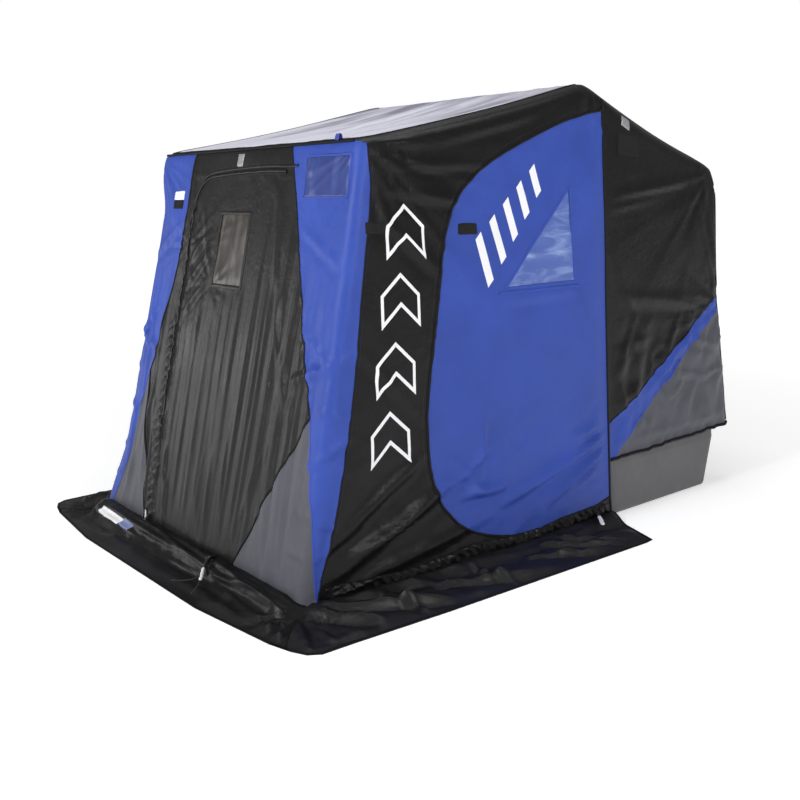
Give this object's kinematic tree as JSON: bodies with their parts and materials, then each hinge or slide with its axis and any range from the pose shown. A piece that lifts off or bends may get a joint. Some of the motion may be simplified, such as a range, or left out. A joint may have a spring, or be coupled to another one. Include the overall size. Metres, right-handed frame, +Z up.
{
  "type": "ice fishing shelter",
  "caption": "Flip-over ice fishing shelter: a moulded tow sled with swivel seats, telescoping bows that fold back over it, and a fabric tent with front and side doors and a ground skirt.",
  "frame": {"origin": "centre of the whole outline on the ice, under the tent", "axes": "+Z up, -Y out through the front door wall, +Y back over the sled, +X to the right-hand side door seen from the front's left"},
  "size_m": [2.356, 3.0085, 2.0295],
  "materials": {
    "fabric_black": "matte woven nylon, black",
    "fabric_blue": "matte woven nylon, royal blue",
    "fabric_white": "coated silver-white roof fabric",
    "window_vinyl": "clear flexible vinyl",
    "tube_steel": "black powder coat",
    "collar_plastic": "black moulded plastic",
    "sled_plastic": "grey rotomoulded polyethylene",
    "zinc_steel": "zinc plated",
    "seat_vinyl": "black vinyl over foam"
  },
  "bodies": {
    "sled": {"sled_tub": "sled_plastic", "hub_bracket_R": "zinc_steel", "hub_bracket_L": "zinc_steel", "hub_bolt_R": "zinc_steel", "hub_bolt_L": "zinc_steel", "seat_post_R": "tube_steel", "seat_post_L": "tube_steel", "side_rear_R": "fabric_black", "side_rear_L": "fabric_black", "rear_panel": "fabric_black"},
    "ground_arms": {"ground_arm_R": "tube_steel", "ground_arm_L": "tube_steel", "ground_collar_R": "collar_plastic", "ground_collar_L": "collar_plastic"},
    "front_arms": {"front_arm_R": "tube_steel", "front_arm_L": "tube_steel", "front_collar_R": "collar_plastic", "front_collar_L": "collar_plastic"},
    "peak_arms": {"peak_arm_R": "tube_steel", "peak_arm_L": "tube_steel", "peak_collar_R": "collar_plastic", "peak_collar_L": "collar_plastic", "side_front_R": "fabric_black", "side_front_L": "fabric_black"},
    "rear_arms": {"rear_arm_R": "tube_steel", "rear_arm_L": "tube_steel", "rear_collar_R": "collar_plastic", "rear_collar_L": "collar_plastic"},
    "ground_top": {"ground_bow": "tube_steel", "skirt_front": "fabric_black", "skirt_side_R": "fabric_black", "skirt_side_L": "fabric_black", "front_sill": "fabric_black"},
    "front_top": {"front_bow": "tube_steel", "front_panel": "fabric_black", "corner_panel_R": "fabric_blue", "corner_panel_L": "fabric_blue"},
    "peak_top": {"peak_bow": "tube_steel", "roof_front": "fabric_white"},
    "rear_top": {"rear_bow": "tube_steel", "roof_rear": "fabric_white"},
    "front_door_flap": {"front_door": "fabric_black", "front_window": "window_vinyl"},
    "front_zip": {"front_zip_slider": "zinc_steel"},
    "side_door_flap_R": {"side_door_R": "fabric_blue", "side_window_R": "window_vinyl"},
    "side_door_flap_L": {"side_door_L": "fabric_blue", "side_window_L": "window_vinyl"},
    "seat_R": {"seat_pan_R": "collar_plastic", "seat_cushion_R": "seat_vinyl"},
    "seat_L": {"seat_pan_L": "collar_plastic", "seat_cushion_L": "seat_vinyl"},
    "seat_back_R": {"seat_back_R": "seat_vinyl"},
    "seat_back_L": {"seat_back_L": "seat_vinyl"}
  },
  "joints": [
    {"name": "tent_fold", "type": "hinge", "parent": "sled", "child": "front_arms", "pos_m": [0, 0.484, 0.46], "axis": [-1, 0, 0], "range_deg": [0, 130.27], "deforming": ["front_panel", "corner_panel_R", "corner_panel_L", "front_door", "front_window", "front_sill", "roof_front", "roof_rear", "rear_panel", "side_front_R", "side_front_L", "side_door_R", "side_door_L", "side_window_R", "side_window_L", "side_rear_R", "side_rear_L", "skirt_front", "skirt_side_R", "skirt_side_L", "front_zip_slider"]},
    {"name": "ground_bow_fold", "type": "hinge", "parent": "sled", "child": "ground_arms", "pos_m": [0, 0.484, 0.46], "axis": [-1, 0, 0], "range_deg": [0, 182.9]},
    {"name": "peak_bow_fold", "type": "hinge", "parent": "sled", "child": "peak_arms", "pos_m": [0, 0.484, 0.46], "axis": [-1, 0, 0], "range_deg": [0, 89.84]},
    {"name": "rear_bow_fold", "type": "hinge", "parent": "sled", "child": "rear_arms", "pos_m": [0, 0.484, 0.46], "axis": [-1, 0, 0], "range_deg": [0, 49.02]},
    {"name": "front_bow_slide", "type": "slide", "parent": "front_arms", "child": "front_top", "axis": [0, 0.7463, -0.6656], "range_m": [0, 0.8005]},
    {"name": "ground_bow_slide", "type": "slide", "parent": "ground_arms", "child": "ground_top", "axis": [0, 0.9709, 0.2394], "range_m": [0, 0.7005]},
    {"name": "peak_bow_slide", "type": "slide", "parent": "peak_arms", "child": "peak_top", "axis": [0, 0.0836, -0.9965], "range_m": [0, 0.4805]},
    {"name": "rear_bow_slide", "type": "slide", "parent": "rear_arms", "child": "rear_top", "axis": [0, -0.6297, -0.7768], "range_m": [0, 0.4805]},
    {"name": "front_door_hinge", "type": "hinge", "parent": "front_top", "child": "front_door_flap", "pos_m": [0.384, -1.11693, 0.8], "axis": [0, 0.195, 0.9808], "range_deg": [0, 110]},
    {"name": "front_zip_slide", "type": "slide", "parent": "front_top", "child": "front_zip", "axis": [0, 0.195, 0.9808], "range_m": [0, 1.2]},
    {"name": "side_door_hinge_R", "type": "hinge", "parent": "peak_arms", "child": "side_door_flap_R", "pos_m": [0.8098, 0.4975, 1.0455], "axis": [-0.0556, 0, 0.9985], "range_deg": [0, 110]},
    {"name": "side_door_hinge_L", "type": "hinge", "parent": "peak_arms", "child": "side_door_flap_L", "pos_m": [-0.8098, 0.4975, 1.0455], "axis": [-0.0556, 0, -0.9985], "range_deg": [0, 110]},
    {"name": "seat_swivel_R", "type": "hinge", "parent": "sled", "child": "seat_R", "pos_m": [0.36, 0.924, 0.28], "axis": [0, 0, 1], "continuous": true},
    {"name": "seat_swivel_L", "type": "hinge", "parent": "sled", "child": "seat_L", "pos_m": [-0.36, 0.924, 0.28], "axis": [0, 0, 1], "continuous": true},
    {"name": "seat_back_fold_R", "type": "hinge", "parent": "seat_R", "child": "seat_back_R", "pos_m": [0.36, 1.109, 0.338], "axis": [1, 0, 0], "range_deg": [0, 78]},
    {"name": "seat_back_fold_L", "type": "hinge", "parent": "seat_L", "child": "seat_back_L", "pos_m": [-0.36, 1.109, 0.338], "axis": [1, 0, 0], "range_deg": [0, 78]}
  ],
  "couplings": [
    {"joint": "ground_bow_fold", "follows": "tent_fold", "ratio": 1.4036},
    {"joint": "peak_bow_fold", "follows": "tent_fold", "ratio": 0.68928},
    {"joint": "rear_bow_fold", "follows": "tent_fold", "ratio": 0.37592},
    {"joint": "front_bow_slide", "follows": "tent_fold", "m_per_rad": 0.35186},
    {"joint": "ground_bow_slide", "follows": "tent_fold", "m_per_rad": 0.30788},
    {"joint": "peak_bow_slide", "follows": "tent_fold", "m_per_rad": 0.21112},
    {"joint": "rear_bow_slide", "follows": "tent_fold", "m_per_rad": 0.21112}
  ]
}
